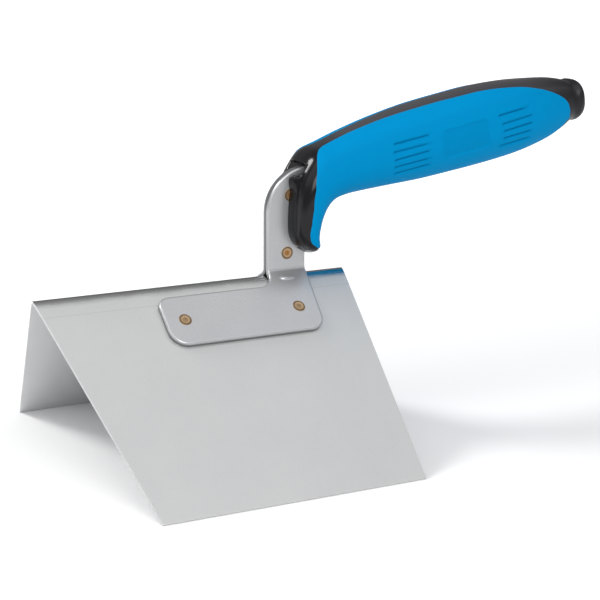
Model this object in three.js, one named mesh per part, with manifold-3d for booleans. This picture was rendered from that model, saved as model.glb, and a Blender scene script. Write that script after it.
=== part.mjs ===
// Outside corner trowel: a folded steel blade, two mirrored pressed brackets spot-welded to
// its wings and to each other, and a moulded handle with a soft grip over a hard core.
//
// Working frame, in millimetres: x runs along the fold from the toe towards the butt of the
// handle, y across it, and z up from the sharp corner of the fold's outer faces. The finished
// tool is moved at the end so that it stands on z = 0 with its box centred on the origin.

import * as THREE from "three";
import { mergeVertices } from "three/addons/utils/BufferGeometryUtils.js";
import Module from "manifold-3d";

const wasm = await Module();
wasm.setup();

// ---------------------------------------------------------------- driving dimensions

const clearance = 0.25; // between any two pieces that touch on the real tool

const blade = {
  length: 127, // along the fold
  wingWidth: 97.5, // from the fold's sharp corner to the free edge
  cornerAngle: 97, // between the two wings, degrees
  sheet: 0.8,
  foldRadius: 3.5, // outer face
  foldSteps: 10,
  toeInset: 18.5, // how far the free edge starts behind the toe end of the fold
  heelInset: 5,
};

const bracket = {
  plate: 1.8,
  footFront: 45.5, // x of the foot's front end
  footTop: 7.4, // distances down the wing from the sharp corner
  footBottom: 29,
  frontLowerRadius: 7,
  frontUpperRadius: 4.5,
  rearRadius: 6,
  rearTaper: 1.4, // the foot's rear edge leans forward by this much down the wing
  throatRadius: 3.5, // inner corner between foot and stem
  stemFront: 93.6,
  stemWidth: 16.2,
  bendRadius: 2.5, // inside of the bend
  bendSteps: 6,
  shoulderHeight: 22.7, // where the stem's front edge starts to curve back
  shoulderRadius: 17.4,
  dartWidth: 6.5, // stiffening dart pressed across the bend
  dartRise: 1.1,
  dartPlace: 0.75, // of the way round the bend from the stem
};

const tang = {
  tilt: 11, // degrees above the fold line
  length: 72, // from the shoulder
  width: 12,
  cornerRadius: 4,
  heelRadius: 8, // inner corner between stem and tang
  keyRadius: 2.5, // holes that the core's plastic fills
  keyPlaces: [32, 54], // along the tang from the shoulder
};

const weld = {
  markRadius: 2.45,
  footFrontInset: 7.8, // from the foot's ends to the weld centres
  footRearInset: 9.5,
  stemLow: { inset: 8.4, z: 7.3 }, // behind the stem's front edge
  stemHigh: { inset: 10.4, z: 29.6 },
};

// Where the soft grip's edge runs: at each station of the handle, which may fall between two,
// the angle from the back, 180 being the belly. It ends at the first and the last.
const grip = {
  wall: 2.2,
  edge: [
    [4.1, 118],
    [4.8, 90],
    [5.5, 70],
    [6.2, 49],
    [7, 33],
    [8.2, 21],
    [9.5, 17],
    [11, 12],
    [13, 11],
    [13.5, 16],
    [14.3, 45],
    [15.5, 76],
    [16.6, 85],
    [17.8, 84],
    [18.5, 80],
    [18.9, 82],
    [19.2, 88],
    [19.4, 95],
  ],
};

// Stations of the handle from the butt to the lower tip of the collar: the point on its back
// or front, the point opposite on its belly, and half its width. Their x is measured from the
// stem's rear edge, so that the handle follows the stem.
const stations = [
  { back: [125.6, 63.6], belly: [126.6, 54.6], half: 4.8 },
  { back: [125.2, 65.9], belly: [126.7, 52.0], half: 7.8 },
  { back: [123.6, 67.2], belly: [124.9, 50.6], half: 8.9 },
  { back: [120.8, 67.5], belly: [122.0, 50.3], half: 9.2 },
  { back: [117.3, 67.8], belly: [119.0, 48.3], half: 9.4 },
  { back: [112.1, 68.4], belly: [114.3, 45.8], half: 10.6 },
  { back: [103.2, 68.5], belly: [104.7, 42.2], half: 13.0 },
  { back: [92.2, 68.2], belly: [93.2, 39.0], half: 14.8 },
  { back: [78.2, 66.8], belly: [79.2, 36.3], half: 15.6 },
  { back: [62.2, 63.9], belly: [63.7, 33.9], half: 15.8 },
  { back: [46.2, 60.7], belly: [48.7, 31.8], half: 15.2 },
  { back: [31.2, 56.7], belly: [34.7, 30.4], half: 14.2 },
  { back: [18.2, 52.5], belly: [24.2, 29.3], half: 13.2 },
  { back: [8.3, 48.7], belly: [17.2, 28.4], half: 12.9 },
  { back: [0.9, 45.7], belly: [11.6, 26.8], half: 12.9 },
  { back: [-3.2, 40.6], belly: [7.9, 23.7], half: 12.9 },
  { back: [-6.0, 35.0], belly: [5.7, 19.7], half: 12.9 },
  { back: [-7.3, 28.0], belly: [4.4, 15.7], half: 12.8 },
  { back: [-7.7, 21.0], belly: [3.9, 12.3], half: 12.6 },
  { back: [-7.5, 15.0], belly: [4.5, 9.4], half: 12.0 },
  { back: [-5.6, 10.8], belly: [4.0, 7.8], half: 10.0 },
  { back: [-2.8, 8.3], belly: [2.8, 6.8], half: 6.0 },
];

// A mouth in the collar's front around the upper stem, under the overhanging rim.
// It ends short of the stem's rear edge.
const mouth = { halfWidth: 6.5, height: 2.6, low: 24, rearInset: 0.3 };

const sectionPower = { back: 2.7, belly: 2.1 }; // 2 is an ellipse, more is squarer
const stationSteps = 2; // rings between two stations
const aroundBody = 36;
const aroundGrip = 24;

// ---------------------------------------------------------------- colours and finishes

const finish = (color, roughness, metalness) =>
  new THREE.MeshStandardMaterial({ color, roughness, metalness });
const stainless = finish(0xc9ccce, 0.35, 1);
const zincSteel = finish(0xb4b7ba, 0.4, 1);
const weldTint = finish(0xa9784a, 0.45, 0.9);
const blackPlastic = finish(0x1c1c20, 0.45, 0);
const blueRubber = finish(0x0090d8, 0.6, 0);

// ---------------------------------------------------------------- solids

const radians = THREE.MathUtils.degToRad;

// A closed three.js geometry as a manifold-3d solid.
function solid(geometry) {
  const plain = geometry.index ? geometry.toNonIndexed() : geometry.clone();
  for (const name of Object.keys(plain.attributes)) {
    if (name !== "position") plain.deleteAttribute(name);
  }
  const merged = mergeVertices(plain, 1e-4);
  return new wasm.Manifold(
    new wasm.Mesh({
      numProp: 3,
      vertProperties: new Float32Array(merged.attributes.position.array),
      triVerts: new Uint32Array(merged.index.array),
    }),
  );
}

// A manifold-3d solid as a flat-shaded three.js geometry.
function geometryOf(body) {
  const mesh = body.getMesh();
  const geometry = new THREE.BufferGeometry();
  const points = new THREE.BufferAttribute(mesh.vertProperties, mesh.numProp);
  geometry.setAttribute("position", points);
  geometry.setIndex(new THREE.BufferAttribute(mesh.triVerts, 1));
  const flat = geometry.toNonIndexed();
  flat.computeVertexNormals();
  return flat;
}

// A shape drawn in the plane of two axes, thickened along the third. The matrix's columns are
// where the shape's x, its y, its thickness and its origin go.
function slab(shape, thickness, alongX, alongY, alongThickness, origin, curveSegments = 8) {
  const geometry = new THREE.ExtrudeGeometry(shape, {
    depth: thickness,
    bevelEnabled: false,
    curveSegments,
  });
  const place = new THREE.Matrix4().makeBasis(alongX, alongY, alongThickness);
  place.setPosition(origin);
  geometry.applyMatrix4(place);
  return solid(geometry);
}

const vector = (x, y, z) => new THREE.Vector3(x, y, z);
const xAxis = vector(1, 0, 0);
const yAxis = vector(0, 1, 0);
const zAxis = vector(0, 0, 1);

// ---------------------------------------------------------------- wing directions

const slope = radians((180 - blade.cornerAngle) / 2); // of each wing below the horizontal
const downWing = (side) => vector(0, side * Math.cos(slope), -Math.sin(slope));
const offWing = (side) => vector(0, side * Math.sin(slope), Math.cos(slope));
const onWing = (side, x, down, off) =>
  vector(x, 0, 0)
    .addScaledVector(downWing(side), down)
    .addScaledVector(offWing(side), off);

// ---------------------------------------------------------------- blade

// The sheet's folded section, drawn across the fold: y to the right and z up.
function foldedSection() {
  const { wingWidth, sheet, foldRadius } = blade;
  const centreDrop = foldRadius / Math.cos(slope);
  const shape = new THREE.Shape();
  const left = (down, off) => {
    const p = onWing(-1, 0, down, off);
    return [p.y, p.z];
  };
  const right = (down, off) => {
    const p = onWing(1, 0, down, off);
    return [p.y, p.z];
  };
  const fromTop = Math.PI / 2;
  shape.moveTo(...left(wingWidth, 0));
  shape.lineTo(...left(wingWidth, -sheet));
  shape.absarc(0, -centreDrop, foldRadius - sheet, fromTop + slope, fromTop - slope, true);
  shape.lineTo(...right(wingWidth, -sheet));
  shape.lineTo(...right(wingWidth, 0));
  shape.absarc(0, -centreDrop, foldRadius, fromTop - slope, fromTop + slope, false);
  shape.closePath();
  return shape;
}

// The blade seen from above: the fold is its full length and both free edges are shorter.
function bladePlan() {
  const reach = blade.wingWidth * Math.cos(slope) + blade.sheet;
  const toe = (blade.toeInset * reach) / (blade.wingWidth * Math.cos(slope));
  const heel = (blade.heelInset * reach) / (blade.wingWidth * Math.cos(slope));
  return new THREE.Shape([
    new THREE.Vector2(0, 0),
    new THREE.Vector2(toe, -reach),
    new THREE.Vector2(blade.length - heel, -reach),
    new THREE.Vector2(blade.length, 0),
    new THREE.Vector2(blade.length - heel, reach),
    new THREE.Vector2(toe, reach),
  ]);
}

function makeBlade() {
  const origin = vector(0, 0, 0);
  const folded = slab(
    foldedSection(), blade.length, yAxis, zAxis, xAxis, origin, blade.foldSteps,
  );
  const below = vector(0, 0, -blade.wingWidth - blade.sheet);
  const plan = slab(bladePlan(), blade.wingWidth + 2 * blade.sheet, xAxis, yAxis, zAxis, below);
  let made = folded.intersect(plan);
  for (const side of [-1, 1]) {
    for (const x of footWeldPlaces) made = made.subtract(footWeldBar(side, x, weldHole));
  }
  return made;
}

// ---------------------------------------------------------------- spot welds

const weldHole = weld.markRadius; // in the sheets that a weld joins
const weldRadius = weldHole - clearance;
const stemRear = bracket.stemFront + bracket.stemWidth;
const footWeldPlaces = [
  bracket.footFront + weld.footFrontInset,
  stemRear - weld.footRearInset,
];
const footWeldDown = (bracket.footTop + bracket.footBottom) / 2;
const footOuterFace = clearance + bracket.plate; // height above the wing
const stemOuterFace = clearance / 2 + bracket.plate; // distance from the middle plane
const roundSteps = 24; // sides of the welds and holes
const outlineSteps = 10; // in each arc of the stem and tang
const footSteps = 6; // in each corner of the foot

// A round bar whose flat ends face along the given direction.
function bar(radius, from, to) {
  const along = to.clone().sub(from);
  const geometry = new THREE.CylinderGeometry(radius, radius, along.length(), roundSteps);
  const turn = new THREE.Quaternion().setFromUnitVectors(yAxis, along.clone().normalize());
  geometry.applyQuaternion(turn);
  const middle = from.clone().add(to).multiplyScalar(0.5);
  geometry.translate(middle.x, middle.y, middle.z);
  return solid(geometry);
}

// Holes run past both faces of the sheets, and the welds themselves end on them.
const holeExtra = 1;

function footWeldBar(side, x, radius, extra = holeExtra) {
  const low = -blade.sheet - extra;
  const high = footOuterFace + extra;
  return bar(
    radius, onWing(side, x, footWeldDown, low), onWing(side, x, footWeldDown, high),
  );
}

function stemWeldBar(place, radius, extra = holeExtra) {
  const x = bracket.stemFront + place.inset;
  const reach = stemOuterFace + extra;
  return bar(radius, vector(x, -reach, place.z), vector(x, reach, place.z));
}

// ---------------------------------------------------------------- brackets

// Radius of the bend's outer face, and the height of its centre above the sharp corner.
const bendOuter = bracket.bendRadius + bracket.plate;
const bendCentreY = clearance / 2 + bendOuter;
const bendCentreZ =
  (bendOuter + clearance - bendCentreY * Math.sin(slope)) / Math.cos(slope);
const bendEndDown = bendCentreY * Math.cos(slope) - bendCentreZ * Math.sin(slope);

const shoulderCentre = {
  x: bracket.stemFront + bracket.shoulderRadius,
  z: bracket.shoulderHeight,
};
const tangSlope = radians(tang.tilt);
const tangDirection = new THREE.Vector2(Math.cos(tangSlope), Math.sin(tangSlope));
const tangUp = new THREE.Vector2(-Math.sin(tangSlope), Math.cos(tangSlope));

// A point of the tang: along it from the shoulder, and up from its top edge.
function onTang(along, up) {
  return new THREE.Vector2(shoulderCentre.x, shoulderCentre.z)
    .addScaledVector(tangUp, bracket.shoulderRadius + up)
    .addScaledVector(tangDirection, along);
}

// Stem and tang in side view, x and z, grown outwards by the given amount. It starts at the
// given height above the sharp corner.
function stemOutline(grow, startHeight) {
  const front = bracket.stemFront - grow;
  const rear = stemRear + grow;
  const round = tang.cornerRadius + grow;
  const heel = tang.heelRadius - grow;
  const shape = new THREE.Shape();
  shape.moveTo(front, startHeight);
  shape.lineTo(rear, startHeight);

  // heel fillet: its centre is one radius behind the stem and one below the tang
  const low = onTang(0, -tang.width - grow - heel);
  const run = (rear + heel - low.x) / tangDirection.x;
  const heelZ = low.y + run * tangDirection.y;
  const heelX = rear + heel;
  shape.absarc(heelX, heelZ, heel, Math.PI, Math.PI / 2 + tangSlope, true);

  const lowerCorner = onTang(tang.length - tang.cornerRadius, -tang.width + tang.cornerRadius);
  const upperCorner = onTang(tang.length - tang.cornerRadius, -tang.cornerRadius);
  const down = tangSlope - Math.PI / 2;
  shape.absarc(lowerCorner.x, lowerCorner.y, round, down, tangSlope, false);
  shape.absarc(upperCorner.x, upperCorner.y, round, tangSlope, Math.PI / 2 + tangSlope, false);
  shape.absarc(
    shoulderCentre.x, shoulderCentre.z, bracket.shoulderRadius + grow,
    Math.PI / 2 + tangSlope, Math.PI, false,
  );
  shape.closePath();
  return shape;
}

// Foot in the plane of the wing: x along the fold and y down the wing.
function footOutline() {
  const b = bracket;
  const overlap = 0.05; // into the bend, so that foot and bend join
  const top = bendEndDown - overlap;
  const shape = new THREE.Shape();
  const quarter = Math.PI / 2;
  shape.moveTo(b.stemFront, top);
  shape.lineTo(stemRear, top);
  shape.lineTo(stemRear, bendEndDown + b.plate);
  const rearEdge = stemRear - b.rearTaper;
  shape.absarc(
    rearEdge - b.rearRadius, b.footBottom - b.rearRadius, b.rearRadius, 0, quarter, false,
  );
  shape.absarc(
    b.footFront + b.frontLowerRadius, b.footBottom - b.frontLowerRadius,
    b.frontLowerRadius, quarter, 2 * quarter, false,
  );
  shape.absarc(
    b.footFront + b.frontUpperRadius, b.footTop + b.frontUpperRadius,
    b.frontUpperRadius, 2 * quarter, 3 * quarter, false,
  );
  shape.absarc(
    b.stemFront - b.throatRadius, b.footTop - b.throatRadius, b.throatRadius,
    quarter, 0, true,
  );
  shape.closePath();
  return shape;
}

// The bend between stem and foot as a ring sector across the fold.
function bendSection() {
  const overlap = radians(0.5);
  const turn = Math.PI / 2 - slope;
  const shape = new THREE.Shape();
  shape.absarc(0, 0, bendOuter, overlap, -turn - overlap, true);
  shape.absarc(0, 0, bracket.bendRadius, -turn - overlap, overlap, false);
  shape.closePath();
  return shape;
}

function makeBracket(side) {
  const b = bracket;
  const stem = slab(
    stemOutline(0, bendCentreZ), b.plate, xAxis, zAxis, yAxis.clone().negate(),
    vector(0, side < 0 ? -clearance / 2 : stemOuterFace, 0), outlineSteps,
  );
  const foot = slab(
    footOutline(), b.plate, xAxis, downWing(-1), offWing(-1).negate(),
    onWing(-1, 0, 0, footOuterFace), footSteps,
  );
  const bend = slab(
    bendSection(), b.stemWidth, yAxis, zAxis, xAxis,
    vector(b.stemFront, -bendCentreY, bendCentreZ), b.bendSteps,
  );
  const formed = foot.add(bend).add(stiffeningDart());
  const bent = side < 0 ? formed : formed.mirror([0, 1, 0]);
  let made = bent.add(stem);
  for (const x of footWeldPlaces) made = made.subtract(footWeldBar(side, x, weldHole));
  for (const place of [weld.stemLow, weld.stemHigh]) {
    made = made.subtract(stemWeldBar(place, weldHole));
  }
  for (const along of tang.keyPlaces) made = made.subtract(keyBar(along, tang.keyRadius));
  return made;
}

// A small lens raised across the inside of the bend on the near side.
function stiffeningDart() {
  const sides = 12;
  const rings = 8;
  const geometry = new THREE.SphereGeometry(1, sides, rings);
  geometry.scale(bracket.dartWidth / 2, bracket.dartRise, bracket.bendRadius);
  const lean = (Math.PI / 2 - slope) * bracket.dartPlace;
  geometry.rotateX(-lean);
  const sunk = 0.1; // into the plate, so that the two join
  const inner = bracket.bendRadius + sunk;
  geometry.translate(
    bracket.stemFront + bracket.stemWidth / 2,
    -bendCentreY + inner * Math.cos(lean),
    bendCentreZ - inner * Math.sin(lean),
  );
  return solid(geometry);
}

// A bar through the middle of the tang, as wide as the handle's slot.
function keyBar(along, radius) {
  const p = onTang(along, -tang.width / 2);
  const reach = stemOuterFace + 2 * clearance;
  return bar(radius, vector(p.x, -reach, p.y), vector(p.x, reach, p.y));
}

// ---------------------------------------------------------------- handle

const behindStem = ([x, z]) => new THREE.Vector2(stemRear + x, z);
const backLine = new THREE.SplineCurve(stations.map((s) => behindStem(s.back)));
const bellyLine = new THREE.SplineCurve(stations.map((s) => behindStem(s.belly)));
const widthLine = new THREE.SplineCurve(stations.map((s, i) => new THREE.Vector2(i, s.half)));

// The handle's section at a station, which may fall between two: a function from an angle,
// 0 at the back and 180 at the belly, to a point, raised off the surface by the given amount.
function sectionAt(station) {
  const t = station / (stations.length - 1);
  const back = backLine.getPoint(t);
  const belly = bellyLine.getPoint(t);
  const centre = back.clone().add(belly).multiplyScalar(0.5);
  const up = back.clone().sub(centre);
  const height = up.length();
  up.normalize();
  const half = widthLine.getPoint(t).y;
  const bulge = (value, power) => Math.sign(value) * Math.abs(value) ** (2 / power);
  return (degrees, raise) => {
    const angle = radians(degrees);
    const power = Math.cos(angle) > 0 ? sectionPower.back : sectionPower.belly;
    const rise = bulge(Math.cos(angle), power) * (height + raise);
    const side = bulge(Math.sin(angle), power) * (half + raise);
    return vector(centre.x + up.x * rise, -side, centre.y + up.y * rise);
  };
}

// The angle of the grip's edge at a station.
function gripEdgeAt(station) {
  const after = grip.edge.findIndex(([place]) => place >= station);
  if (after <= 0) return grip.edge[after < 0 ? grip.edge.length - 1 : 0][1];
  const [lowPlace, lowAngle] = grip.edge[after - 1];
  const [highPlace, highAngle] = grip.edge[after];
  const share = (station - lowPlace) / (highPlace - lowPlace);
  return THREE.MathUtils.lerp(lowAngle, highAngle, share);
}

// Joins rings of points, each closed on itself, into a closed skin with flat ends.
function loft(rings) {
  const count = rings[0].length;
  const flat = rings.flat();
  const faces = [];
  for (let r = 0; r + 1 < rings.length; r++) {
    for (let i = 0; i < count; i++) {
      const j = (i + 1) % count;
      const [a, b, c, d] = [i, j, j + count, i + count].map((k) => k + r * count);
      const left = flat[a].y + flat[c].y < 0; // the skin is the same on both sides
      faces.push(...(left ? [a, b, c, a, c, d] : [a, b, d, b, c, d]));
    }
  }
  // each end is closed by strips between the two halves of its ring
  const last = (rings.length - 1) * count;
  for (let i = 0; 2 * i + 2 < count; i++) {
    const [a, b, c, d] = [i, i + 1, count - 2 - i, count - 1 - i];
    const end = (p, q, r) => {
      if (p === q || q === r || p === r) return;
      faces.push(p, r, q, p + last, q + last, r + last);
    };
    end(a, b, c);
    end(a, c, d);
  }
  const geometry = new THREE.BufferGeometry().setFromPoints(flat);
  geometry.setIndex(faces);
  const made = solid(geometry);
  if (made.volume() >= 0) return made;
  for (let i = 0; i < faces.length; i += 3) {
    [faces[i + 1], faces[i + 2]] = [faces[i + 2], faces[i + 1]];
  }
  geometry.setIndex(faces);
  return solid(geometry);
}

// Stations from one to another, a step apart, with both ends.
function run(from, to) {
  const count = Math.ceil((to - from) * stationSteps);
  return Array.from({ length: count + 1 }, (_, i) => from + ((to - from) * i) / count);
}

// The whole handle's outer shape.
function handleBody() {
  return loft(
    run(0, stations.length - 1).map((station) => {
      const point = sectionAt(station);
      return Array.from({ length: aroundBody }, (_, i) =>
        point((360 * (i + 0.5)) / aroundBody, 0),
      );
    }),
  );
}

// A wall wrapped round the belly: from one edge of the grip to the other at `outer` above
// the handle's surface, and back again at `inner`.
function wrappedWall(places, outer, inner, edgeGap) {
  return loft(
    places.map((station) => {
      const point = sectionAt(station);
      const start = gripEdgeAt(station) + edgeGap;
      const sweep = 360 - 2 * start;
      const angles = Array.from(
        { length: aroundGrip + 1 }, (_, i) => start + (sweep * i) / aroundGrip,
      );
      return [
        ...angles.map((angle) => point(angle, outer)),
        ...angles.reverse().map((angle) => point(angle, inner)),
      ];
    }),
  );
}

const edgeGap = 1.4; // degrees, about one clearance at the grip's edge
const stationGap = 0.04; // stations, about one clearance at the grip's ends

const gripPlaces = grip.edge.flatMap(([place], i) =>
  i ? run(grip.edge[i - 1][0], place).slice(1) : [place],
);
const makeGrip = () => wrappedWall(gripPlaces, 0, -grip.wall, edgeGap);

const handleSpan = 100; // more than the handle's width or height

function makeCore() {
  const pocketPlaces = [
    gripPlaces[0] - stationGap, ...gripPlaces, gripPlaces.at(-1) + stationGap,
  ];
  const pocket = wrappedWall(pocketPlaces, grip.wall, -grip.wall - clearance, 0);
  const slotHalf = stemOuterFace + clearance;
  const slot = slab(
    stemOutline(clearance, -bracket.footBottom), 2 * slotHalf, xAxis, zAxis,
    yAxis.clone().negate(), vector(0, slotHalf, 0), outlineSteps,
  );
  const mouthBody = slab(
    stemOutline(mouth.height, -bracket.footBottom), 2 * mouth.halfWidth, xAxis, zAxis,
    yAxis.clone().negate(), vector(0, mouth.halfWidth, 0), outlineSteps,
  );
  const mouthRear = stemRear - mouth.rearInset;
  const mouthReach = new THREE.BoxGeometry(mouthRear, handleSpan, handleSpan);
  mouthReach.translate(mouthRear / 2, 0, mouth.low + handleSpan / 2);
  const opening = mouthBody.intersect(solid(mouthReach));
  let made = handleBody().subtract(pocket).subtract(slot).subtract(opening);
  for (const along of tang.keyPlaces) {
    made = made.add(keyBar(along, tang.keyRadius - clearance));
  }
  return made;
}

// ---------------------------------------------------------------- assembly

const tool = new THREE.Group();

function add(name, body, material) {
  const mesh = new THREE.Mesh(geometryOf(body), material);
  mesh.name = name;
  tool.add(mesh);
}

add("blade", makeBlade(), stainless);
add("bracket_left", makeBracket(-1), zincSteel);
add("bracket_right", makeBracket(1), zincSteel);
for (const [hand, side] of [["left", -1], ["right", 1]]) {
  for (const [place, x] of [["front", footWeldPlaces[0]], ["rear", footWeldPlaces[1]]]) {
    add(`foot_weld_${hand}_${place}`, footWeldBar(side, x, weldRadius, 0), weldTint);
  }
}
add("stem_weld_lower", stemWeldBar(weld.stemLow, weldRadius, 0), weldTint);
add("stem_weld_upper", stemWeldBar(weld.stemHigh, weldRadius, 0), weldTint);
add("handle_core", makeCore(), blackPlastic);
add("soft_grip", makeGrip(), blueRubber);

const box = new THREE.Box3().setFromObject(tool);
const middle = box.getCenter(new THREE.Vector3());
tool.position.set(-middle.x, -middle.y, -box.min.z);

const root = new THREE.Group();
root.add(tool);
export default root;
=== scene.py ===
"""Outside corner trowel: a folded steel blade, two pressed brackets spot-welded to it, and a
two-part moulded handle over the brackets' tang. Named sizes are in millimetres along the fold,
across it and above its sharp corner; the finished meshes are in metres."""

import math

import bmesh
import bpy
from mathutils import Matrix, Vector, kdtree


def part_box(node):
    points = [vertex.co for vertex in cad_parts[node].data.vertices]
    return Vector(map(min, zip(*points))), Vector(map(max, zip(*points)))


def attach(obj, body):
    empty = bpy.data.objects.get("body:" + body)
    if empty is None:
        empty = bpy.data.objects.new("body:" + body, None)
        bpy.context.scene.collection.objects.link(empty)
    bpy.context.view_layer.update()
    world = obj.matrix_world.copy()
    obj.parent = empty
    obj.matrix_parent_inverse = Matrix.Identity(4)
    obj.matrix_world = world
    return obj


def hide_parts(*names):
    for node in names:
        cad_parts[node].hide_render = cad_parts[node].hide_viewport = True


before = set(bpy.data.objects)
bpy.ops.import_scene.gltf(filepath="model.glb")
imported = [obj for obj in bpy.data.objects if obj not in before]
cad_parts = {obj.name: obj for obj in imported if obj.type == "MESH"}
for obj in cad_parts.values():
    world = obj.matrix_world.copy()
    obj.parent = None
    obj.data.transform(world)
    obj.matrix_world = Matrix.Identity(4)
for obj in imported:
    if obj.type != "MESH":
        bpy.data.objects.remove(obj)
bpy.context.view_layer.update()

# ---------------------------------------------------------------- camera, floor and light
# The tool stands on its blade's two free edges on a plain pale floor, lit by soft studio
# lights. The camera looks at it from in front of its left wing, a little from above.

scene = bpy.context.scene
MM = 0.001

camera_data = bpy.data.cameras.new("camera")
camera_data.sensor_width = 36
camera_data.lens = 104.55
camera = bpy.data.objects.new("camera", camera_data)
scene.collection.objects.link(camera)
scene.camera = camera
camera_right = Vector((0.8835, -0.4684, 0.0043)).normalized()
camera_forward = Vector((0.4564, 0.8588, -0.2328)).normalized()
camera_up = camera_right.cross(camera_forward).normalized()
camera_right = camera_forward.cross(camera_up)
turn = Matrix((camera_right, camera_up, -camera_forward)).transposed().to_4x4()
turn.translation = Vector((-0.31794, -0.58033, 0.21010))
camera.matrix_world = turn


def new_material(name, slot_color=(0.8, 0.8, 0.8, 1)):
    """An empty node material and its shader."""
    material = bpy.data.materials.new(name)
    material.use_nodes = True
    material.diffuse_color = slot_color
    nodes = material.node_tree.nodes
    nodes.clear()
    shader = nodes.new("ShaderNodeBsdfPrincipled")
    output = nodes.new("ShaderNodeOutputMaterial")
    material.node_tree.links.new(shader.outputs["BSDF"], output.inputs["Surface"])
    return material, shader


def finished(name, mesh, material, smooth_angle):
    """An object of the mesh, shaded smooth except across edges sharper than the angle."""
    for face in mesh.polygons:
        face.use_smooth = True
    mesh.set_sharp_from_angle(angle=math.radians(smooth_angle))
    mesh.materials.append(material)
    made = bpy.data.objects.new(name, mesh)
    scene.collection.objects.link(made)
    return made


def mesh_object(name, vertices, faces, material, smooth_angle=35):
    """An object of points and faces, its doubled points merged and its faces turned outwards."""
    mesh = bpy.data.meshes.new(name)
    mesh.from_pydata([tuple(v) for v in vertices], [], faces)
    work = bmesh.new()
    work.from_mesh(mesh)
    bmesh.ops.remove_doubles(work, verts=work.verts, dist=1e-7)
    bmesh.ops.recalc_face_normals(work, faces=work.faces)
    work.to_mesh(mesh)
    work.free()
    return finished(name, mesh, material, smooth_angle)


FLOOR_HALF = 6.0

floor_material, floor_shader = new_material("floor_paper")
floor_shader.inputs["Base Color"].default_value = (0.95, 0.95, 0.95, 1)
floor_shader.inputs["Roughness"].default_value = 0.9
floor_shader.inputs["Emission Strength"].default_value = 1.0
floor_nodes = floor_material.node_tree.nodes
floor_links = floor_material.node_tree.links
# the floor glows with painted light: none up to 5 cm behind the fold's line, rising to 0.6 at 80 cm
# behind it and level beyond, so the floor towards the camera has no glow
floor_place = floor_nodes.new("ShaderNodeTexCoord")
floor_parts = floor_nodes.new("ShaderNodeSeparateXYZ")
floor_glow = floor_nodes.new("ShaderNodeMapRange")
floor_glow.inputs["From Min"].default_value = 0.05
floor_glow.inputs["From Max"].default_value = 0.8
floor_glow.inputs["To Max"].default_value = 0.6
floor_links.new(floor_place.outputs["Object"], floor_parts.inputs[0])
floor_links.new(floor_parts.outputs["Y"], floor_glow.inputs["Value"])
floor_links.new(floor_glow.outputs[0], floor_shader.inputs["Emission Color"])
corner_signs = ((-1, -1), (1, -1), (1, 1), (-1, 1))
floor_corners = [(a * FLOOR_HALF, b * FLOOR_HALF, 0) for a, b in corner_signs]
floor = mesh_object("floor", floor_corners, [(0, 1, 2, 3)], floor_material)

world = bpy.data.worlds.new("studio")
scene.world = world
world.use_nodes = True
sky = world.node_tree.nodes
sky_links = world.node_tree.links
sky_direction = sky.new("ShaderNodeTexCoord")
sky_parts = sky.new("ShaderNodeSeparateXYZ")
sky_links.new(sky_direction.outputs["Generated"], sky_parts.inputs[0])


def sky_ramp(socket, greys):
    """Greys of the room against one part of the direction looked in."""
    node = sky.new("ShaderNodeValToRGB")
    sky_links.new(sky_parts.outputs[socket], node.inputs[0])
    stops = node.color_ramp.elements
    for k, (place, grey) in enumerate(greys):
        stop = stops[k] if k < 2 else stops.new(place)
        stop.position = place
        stop.color = (grey, grey, grey * 1.01, 1)
    return node.outputs["Color"]


# behind the tool the room is dim, and over the camera hangs a broad soft box
behind = sky_ramp("Z", [(0.0, 0.8), (0.08, 0.3), (0.3, 0.2), (0.8, 0.19), (1.0, 0.35)])
before = sky_ramp("Z", [(0.0, 0.2), (0.28, 0.24), (0.5, 0.7), (0.75, 0.97), (1.0, 1.0)])
side = sky.new("ShaderNodeMapRange")
side.inputs["From Min"].default_value = -0.1
side.inputs["From Max"].default_value = 0.0
sky_links.new(sky_parts.outputs["Y"], side.inputs["Value"])
both = sky.new("ShaderNodeMix")
both.data_type = "RGBA"
sky_links.new(side.outputs[0], both.inputs[0])
sky_links.new(before, both.inputs[6])
sky_links.new(behind, both.inputs[7])
# the window side, on the left, is brighter than the right
left = sky.new("ShaderNodeMapRange")
left.inputs["From Min"].default_value = -1.0
left.inputs["From Max"].default_value = 1.0
left.inputs["To Min"].default_value = 1.75
left.inputs["To Max"].default_value = 0.85
sky_links.new(sky_parts.outputs["X"], left.inputs["Value"])
sky_links.new(both.outputs[2], sky["Background"].inputs["Color"])
sky_links.new(left.outputs[0], sky["Background"].inputs["Strength"])


def soft_light(name, place, size, energy):
    """A round soft light aimed at the tool's middle."""
    lamp = bpy.data.lights.new(name, "AREA")
    lamp.shape = "DISK"
    lamp.size = size
    lamp.energy = energy
    lamp_object = bpy.data.objects.new(name, lamp)
    lamp_object.location = place
    aim = Vector((0, 0, TOOL_MIDDLE_Z)) - Vector(place)
    lamp_object.rotation_euler = aim.to_track_quat("-Z", "Y").to_euler()
    scene.collection.objects.link(lamp_object)


TOOL_MIDDLE_Z = 0.06
soft_light("key_light", (-1.05, 0.62, 1.22), size=0.55, energy=14)
soft_light("fill_light", (-0.35, -1.5, 0.85), size=1.0, energy=11)

# ---------------------------------------------------------------- blade
# One sheet of stainless steel about 0.8 mm thick, folded once to 97 degrees, its faces ground
# satin and its fold burnished in the press. The free edges are shorter than the fold.

BLADE_LENGTH = 127.0
WING_WIDTH = 97.5
WING_SLOPE = math.radians(41.5)
SHEET = 0.8
FOLD_RADIUS = 3.5
TOE_INSET = 18.5
HEEL_INSET = 5.0
WING_DROP = WING_WIDTH * math.sin(WING_SLOPE) + SHEET * math.cos(WING_SLOPE)
EDGE_BREAK = 0.06
PRESS_LINE_DOWN = 9.2
BURNISH_REACH = 10.0

blade_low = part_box("blade")[0]
toe_x = blade_low[0]
corner_z = blade_low[2] + WING_DROP * MM


def at(x, y, z):
    """A point in metres from millimetres along the fold, across it and above its corner."""
    return Vector((toe_x + x * MM, y * MM, corner_z + z * MM))


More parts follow.
